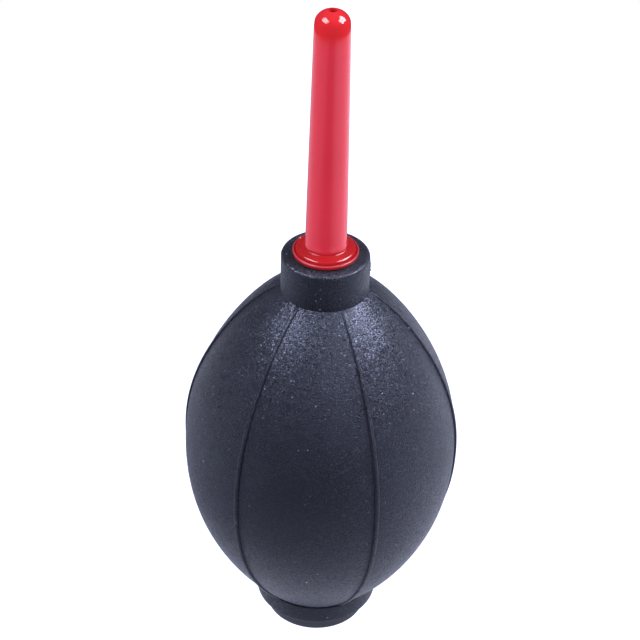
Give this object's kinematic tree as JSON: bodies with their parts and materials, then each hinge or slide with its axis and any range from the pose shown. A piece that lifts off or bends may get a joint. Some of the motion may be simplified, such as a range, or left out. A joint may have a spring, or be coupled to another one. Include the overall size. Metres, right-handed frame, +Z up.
{
  "type": "dust blower bulb",
  "caption": "Hand squeezed rubber blower bulb with thin meridian ribs, a push-fit tapered nozzle on its neck and a one-way inlet valve in its foot.",
  "frame": {"origin": "centre of the flat underside of the foot plug, on the bulb's axis", "axes": "+Z up along the bulb's axis towards the nozzle tip, +X through one of the six ribs, +Y square to both"},
  "size_m": [0.0546, 0.0538, 0.1379],
  "materials": {
    "bulb_rubber": "moulded matt rubber with a fine leather-like grain",
    "nozzle_plastic": "glossy moulded",
    "plug_plastic": "satin moulded",
    "valve_silicone": "smooth translucent silicone",
    "cage_plastic": "natural moulded"
  },
  "bodies": {
    "base": {"base_plug": "plug_plastic", "valve_cage": "cage_plastic"},
    "bulb": {"bulb_body": "bulb_rubber"},
    "nozzle": {"nozzle": "nozzle_plastic"},
    "valve": {"valve_disc": "valve_silicone"}
  },
  "joints": [
    {"name": "squeeze", "type": "slide", "parent": "base", "child": "bulb", "axis": [0, 0, -1], "range_m": [0, 0.015], "stiffness_N_per_m": 1200, "springref_m": -0.0005, "deforming": ["bulb_body"]},
    {"name": "nozzle_pull", "type": "slide", "parent": "bulb", "child": "nozzle", "axis": [0, 0, 1], "range_m": [0, 0.02]},
    {"name": "valve_lift", "type": "slide", "parent": "base", "child": "valve", "axis": [0, 0, 1], "range_m": [0, 0.0012]}
  ]
}
